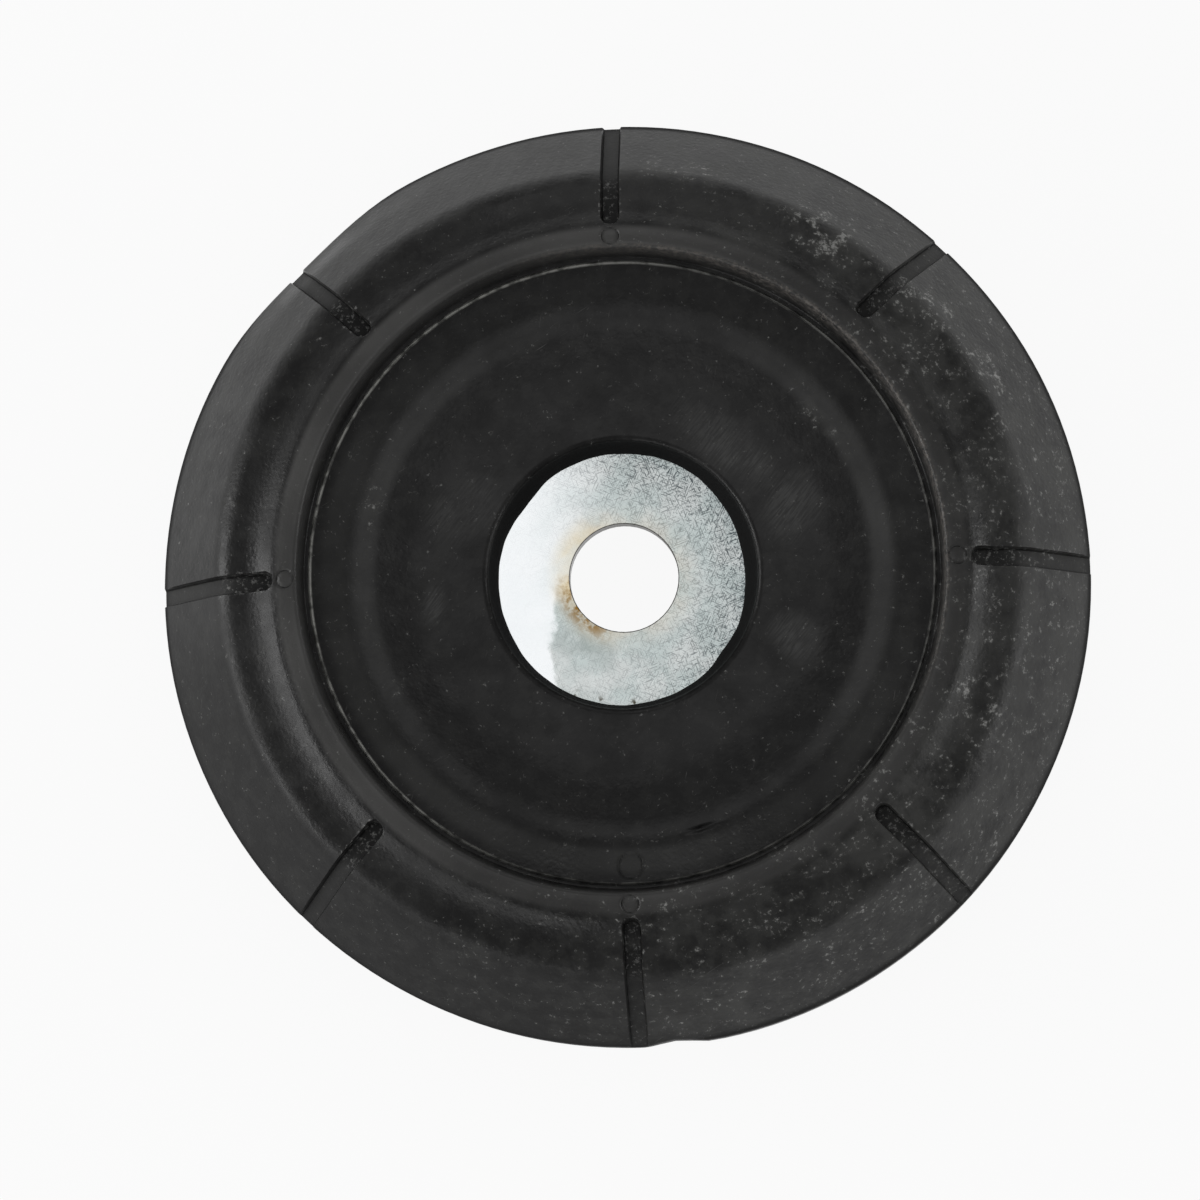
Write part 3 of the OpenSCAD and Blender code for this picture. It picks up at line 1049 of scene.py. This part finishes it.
def zinc_scratches(tree, on, colour):
    near_rubber = span(tree, on.radius, hole_r + 1, opening_r + 0.5)
    edge_shade = product(tree, near_rubber, side(tree, 20, -0.3, 0.9))
    colour = blend_colours(tree, product(tree, edge_shade, 0.25), colour, EDGE_SHADE)
    outwards = spread(tree, span(tree, on.radius, hole_r + 0.5, opening_r), 0.3, 1)
    worn = product(tree, side(tree, 25, -1, 0.9), outwards)
    grain = calc(tree, "ADD", noise(tree, on.where, 4200, 2), product(tree, worn, 0.06))
    strokes = mask(tree, grain, 0.62, 0.76)
    for degrees in STROKE_DIRECTIONS:
        strokes = strongest(tree, strokes, streaks(tree, degrees, 1.3, 0.13, 0.58, 0.67))
    strokes = product(tree, strokes, spread(tree, worn, 0.25, 1))
    colour = blend_colours(tree, strokes, colour, STROKE_DARK)
    long_glints = streaks(tree, 50, 0.8, 0.12, 0.66, 0.74)
    short_glints = streaks(tree, -60, 0.6, 0.12, 0.66, 0.74)
    colour = blend_colours(tree, strongest(tree, long_glints, short_glints), colour, GLINT_PALE)
    # A painted reflection, nearly white, goes over the left side of the plate.
    return blend_colours(tree, product(tree, on.clean, 0.85), colour, ZINC_PAINTED_REFLECTION)


zinc_colour = zinc_scratches(zinc_tree, on_zinc, zinc_colour)
count_nodes(zinc_tree, "scratches")

# %% [markdown]
# Rust has started where the plating was torn at the hole, on its front left. Around it the zinc is yellowed
# and stained, and a few dark spots sit where the rubber meets the plate at the front.

# %% Rust at the hole
YELLOWED = (0.8, 0.66, 0.4, 1)
STAIN_GREEN = (0.34, 0.42, 0.4, 1)
RUST_BROWN = (0.36, 0.2, 0.04, 1)
RUST_DARK = (0.06, 0.05, 0.02, 1)
HOLE_DARK = (0.05, 0.045, 0.04, 1)


def zinc_rust(tree, on, colour):
    near_hole = span(tree, on.radius, hole_r + 3.5, hole_r)
    left_side = spread(tree, side(tree, 185, -0.1, 0.95), 0.2, 0.85)
    yellowed = product(tree, near_hole, left_side, spread(tree, on.clouds, 0.4, 1))
    colour = blend_colours(tree, yellowed, colour, YELLOWED)
    around_rust = ring(tree, on.radius, hole_r + 0.5, hole_r + 6, 2)
    stain = product(tree, around_rust, side(tree, 236, 0.86, 0.98), on.clouds)
    colour = blend_colours(tree, product(tree, stain, 0.7), colour, STAIN_GREEN)
    at_hole = span(tree, on.radius, hole_r + 2.6, hole_r + 0.1)
    rust_grain = mask(tree, noise(tree, on.where, 700, 5, 0.65), 0.4, 0.6)
    rust = product(tree, at_hole, side(tree, 215, 0.68, 0.97), rust_grain)
    colour = blend_colours(tree, rust, colour, RUST_BROWN)
    at_rubber = span(tree, on.radius, opening_r - 1.3, opening_r - 0.2)
    spots = mask(tree, noise(tree, on.where, 700, 3), 0.6, 0.68)
    rust_spots = product(tree, at_rubber, side(tree, 262, 0.8, 0.95), spots)
    colour = blend_colours(tree, rust_spots, colour, RUST_DARK)
    hole_edge = span(tree, on.radius, hole_r + 0.15, hole_r + 0.05)
    return blend_colours(tree, hole_edge, colour, HOLE_DARK)


zinc_colour = zinc_rust(zinc_tree, on_zinc, zinc_colour)
count_nodes(zinc_tree, "rust")

# %% [markdown]
# Plated metal has no colour of its own beside its reflection, so the shader is fully metallic. Where the
# reflection is painted on, the zinc also reflects more sharply than the rest.

# %% Zinc finish
REFLECTION_ROUGHNESS = 0.14


def finish_zinc(tree, shader, on, colour):
    """Connects the colour and the gloss to the shader."""
    set_input(tree, shader.inputs["Base Color"], colour)
    shader.inputs["Metallic"].default_value = 1.0
    dullness = spread(tree, noise(tree, on.where, 500, 3), 0.3, 0.45)
    set_input(tree, shader.inputs["Roughness"], blend_values(tree, on.clean, dullness, REFLECTION_ROUGHNESS))


finish_zinc(zinc_tree, zinc_shader, on_zinc, zinc_colour)
paint(nodes["centre_plate"], zinc_plate)

# %% [markdown]
# ## Bearing steel
# The races are turned and ground, which leaves fine rings around the axis, and a film of oil browns them in
# places. The balls are polished and a little greasy.

# %% Steel finishes
RACE_GREY = (0.5, 0.5, 0.5, 1)
OILED_GREY = (0.4, 0.38, 0.34, 1)
BALL_BRIGHT = (0.72, 0.73, 0.74, 1)
GREASE_BROWN = (0.6, 0.57, 0.5, 1)


def ground_steel():
    material, tree, shader = new_finish("ground_race_steel")
    turned = add(tree, "TexWave", {"wave_type": "RINGS", "rings_direction": "Z"}, Vector=place(tree),
                 Scale=900, Distortion=1.5, Detail=2).outputs["Fac"]
    oil = mask(tree, noise(tree, place(tree), 60, 3), 0.35, 0.7)
    set_input(tree, shader.inputs["Base Color"], blend_colours(tree, oil, RACE_GREY, OILED_GREY))
    shader.inputs["Metallic"].default_value = 1.0
    set_input(tree, shader.inputs["Roughness"], spread(tree, turned, 0.24, 0.38))
    marks = add(tree, "Bump", Strength=0.15, Distance=0.03 * MM, Height=turned)
    set_input(tree, shader.inputs["Normal"], marks.outputs["Normal"])
    return material


def polished_steel():
    material, tree, shader = new_finish("polished_ball_steel")
    grease = mask(tree, noise(tree, place(tree), 400, 3), 0.45, 0.65)
    set_input(tree, shader.inputs["Base Color"], blend_colours(tree, grease, BALL_BRIGHT, GREASE_BROWN))
    shader.inputs["Metallic"].default_value = 1.0
    set_input(tree, shader.inputs["Roughness"], spread(tree, grease, 0.08, 0.2))
    return material


race_finish = ground_steel()
paint(bearing_rings["upper_race"], race_finish)
paint(bearing_rings["lower_race"], race_finish)
paint(bearing_balls, polished_steel())

# %% [markdown]
# ## Cage and seals
# The cage is moulded from natural nylon, which is cream coloured and uneven in tint. The seals are smooth
# black rubber with a little dust.

# %% Nylon and seal finishes
NYLON_DARK = (0.6, 0.55, 0.42, 1)
NYLON_PALE = (0.7, 0.66, 0.54, 1)
SEAL_BLACK = (0.014, 0.014, 0.015, 1)
SEAL_DUST = (0.04, 0.04, 0.038, 1)


def natural_nylon():
    material, tree, shader = new_finish("natural_nylon")
    tint = noise(tree, place(tree), 150, 3)
    set_input(tree, shader.inputs["Base Color"], blend_colours(tree, tint, NYLON_DARK, NYLON_PALE))
    shader.inputs["Roughness"].default_value = 0.45
    return material


def seal_rubber():
    material, tree, shader = new_finish("smooth_seal_rubber")
    dust = mask(tree, noise(tree, place(tree), 300, 4), 0.45, 0.75)
    set_input(tree, shader.inputs["Base Color"], blend_colours(tree, dust, SEAL_BLACK, SEAL_DUST))
    shader.inputs["Roughness"].default_value = 0.42
    return material


paint(nodes["ball_cage"], natural_nylon())
seal_finish = seal_rubber()
paint(bearing_rings["dust_seal"], seal_finish)
paint(bearing_rings["inner_seal"], seal_finish)

# %% [markdown]
# ## Studio
# The part lies on a white table. To the camera and in reflections most of the table's white is a glow of
# its own, so that the background and the view through the rod hole stay white. The rest is a plain
# surface, which keeps a little of the part's shadow.

# %% White table
FLOOR_SIZE = 40.0
FLOOR_GLOW = 0.92
FLOOR_WHITE = 0.9
FLOOR_GAP = 0.1


def table_finish():
    material, tree, shader = new_finish("white_table")
    shader.inputs["Base Color"].default_value = (FLOOR_WHITE, FLOOR_WHITE, FLOOR_WHITE, 1)
    shader.inputs["Roughness"].default_value = 0.9
    glow = add(tree, "Emission", Color=(1, 1, 1, 1), Strength=1.0)
    seen = add(tree, "LightPath").outputs
    by_eye = strongest(tree, seen["Is Camera Ray"], seen["Is Transmission Ray"], seen["Is Glossy Ray"])
    mixed = add(tree, "MixShader", Fac=product(tree, by_eye, FLOOR_GLOW))
    tree.links.new(shader.outputs["BSDF"], mixed.inputs[1])
    tree.links.new(glow.outputs["Emission"], mixed.inputs[2])
    tree.links.new(mixed.outputs["Shader"], tree.nodes["Material Output"].inputs["Surface"])
    return material


sheet = bmesh.new()
bmesh.ops.create_grid(sheet, x_segments=1, y_segments=1, size=FLOOR_SIZE / 2)
bmesh.ops.translate(sheet, verts=sheet.verts[:], vec=(0, 0, -FLOOR_GAP * MM))
table_mesh = bpy.data.meshes.new("white_table")
sheet.to_mesh(table_mesh)
sheet.free()
table_mesh.materials.append(table_finish())
table = bpy.data.objects.new("white_table", table_mesh)
bpy.context.scene.collection.objects.link(table)
print(f"table of {FLOOR_SIZE:.0f} m, {FLOOR_GAP} mm below the part")

# %% [markdown]
# Black rubber shows its shape by what it reflects. Dark walls between a bright ceiling and a bright horizon
# draw its rings, and four softboxes light its flanks. The world's brightness depends only on how high a
# ray points, so a colour ramp on the z coordinate is enough.

# %% World and softboxes
# The world's brightness at each height of a ray, from the horizon at 0 to straight up at 1.
SKY_LEVELS = ((0.0, 0.7), (0.05, 0.7), (0.12, 0.25), (0.89, 0.28), (0.97, 1.0), (1.0, 1.0))
# Each softbox has its place, width and height in metres, and its power in watts.
SOFTBOXES = {
    "left_softbox": ((-0.9, -0.1, 0.22), 0.9, 0.2, 3.4),
    "right_softbox": ((0.9, -0.1, 0.22), 0.6, 0.2, 1.5),
    "back_softbox": ((0.0, 0.8, 0.58), 0.7, 0.3, 0.6),
    "front_softbox": ((-0.5, -0.76, 0.26), 0.8, 0.2, 1.1),
}


def studio_world():
    world = bpy.data.worlds.new("studio")
    world.use_nodes = True
    bpy.context.scene.world = world
    tree = world.node_tree
    height = add(tree, "SeparateXYZ", Vector=add(tree, "TexCoord").outputs["Generated"]).outputs["Z"]
    ramp = add(tree, "ValToRGB", Fac=height)
    stops = ramp.color_ramp.elements
    while len(stops) < len(SKY_LEVELS):
        stops.new(0.5)
    for stop, (where, level) in zip(stops, SKY_LEVELS):
        stop.position = where
        stop.color = (level, level, level, 1)
    tree.links.new(ramp.outputs["Color"], tree.nodes["Background"].inputs["Color"])


def softbox(name, spot, width, height, power):
    """A rectangular lamp that faces the part."""
    lamp = bpy.data.lights.new(name, "AREA")
    lamp.shape = "RECTANGLE"
    lamp.size = width
    lamp.size_y = height
    lamp.energy = power
    box = bpy.data.objects.new(name, lamp)
    box.location = spot
    box.rotation_euler = (-Vector(spot)).to_track_quat("-Z", "Y").to_euler()
    bpy.context.scene.collection.objects.link(box)


studio_world()
for name, settings in SOFTBOXES.items():
    softbox(name, *settings)
bpy.context.scene.view_settings.view_transform = "Standard"
print(f"studio: table, world and {len(SOFTBOXES)} softboxes")

# %% [markdown]
# ## Camera
# The photograph looks down at the part, a little from the front and the right, with the slots turned by a
# degree or two. The camera is set back along that line and aimed so that the rim falls where the picture
# has it, given in pixels of a picture 1200 pixels wide.

# %% Camera
IMAGE_PX = 1200
PX_PER_MM = 7.74
RIM_CENTRE_PX = (625.5, 581.7)
AZIMUTH = math.radians(21.5)
ELEVATION = math.radians(82.5)
UP_DIRECTION = math.radians(88.3)
DISTANCE = 600

level = Vector((math.sin(AZIMUTH), -math.cos(AZIMUTH), 0))
back = level * math.cos(ELEVATION) + Vector((0, 0, math.sin(ELEVATION)))
right = Vector((math.cos(UP_DIRECTION), math.sin(UP_DIRECTION), 0)).cross(back).normalized()
up = back.cross(right)
aim = Vector((0, 0, rim_z))
aim -= right * (RIM_CENTRE_PX[0] - IMAGE_PX / 2) / PX_PER_MM
aim += up * (RIM_CENTRE_PX[1] - IMAGE_PX / 2) / PX_PER_MM

camera_data = bpy.data.cameras.new("camera")
camera_data.lens = camera_data.sensor_width * DISTANCE * PX_PER_MM / IMAGE_PX
camera = bpy.data.objects.new("camera", camera_data)
bpy.context.scene.collection.objects.link(camera)
facing = Matrix((right, up, back)).transposed().to_4x4()
camera.matrix_world = Matrix.Translation((aim + back * DISTANCE) * MM) @ facing
bpy.context.scene.camera = camera
print(f"camera lens {camera_data.lens:.1f} mm")
